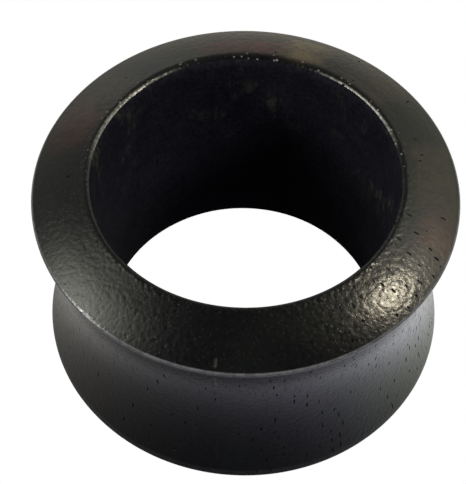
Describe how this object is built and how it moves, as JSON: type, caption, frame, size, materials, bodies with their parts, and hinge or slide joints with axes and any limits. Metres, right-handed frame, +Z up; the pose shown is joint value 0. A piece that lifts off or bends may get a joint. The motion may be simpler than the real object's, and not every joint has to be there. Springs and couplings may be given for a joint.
{
  "type": "ear plug gauge",
  "caption": "Turned wooden ear tunnel: a waisted saddle between flared edges, with bevelled rim faces and a wide open bore.",
  "frame": {"origin": "on the axis, at the height of the surface that the back lip stands on", "axes": "+Z up along the axis, from the back lip to the front lip; round about it, so X and Y are free"},
  "size_m": [0.0218, 0.0218, 0.0136],
  "materials": {
    "wood": "satin"
  },
  "bodies": {
    "root": {"tunnel": "wood"}
  },
  "joints": []
}
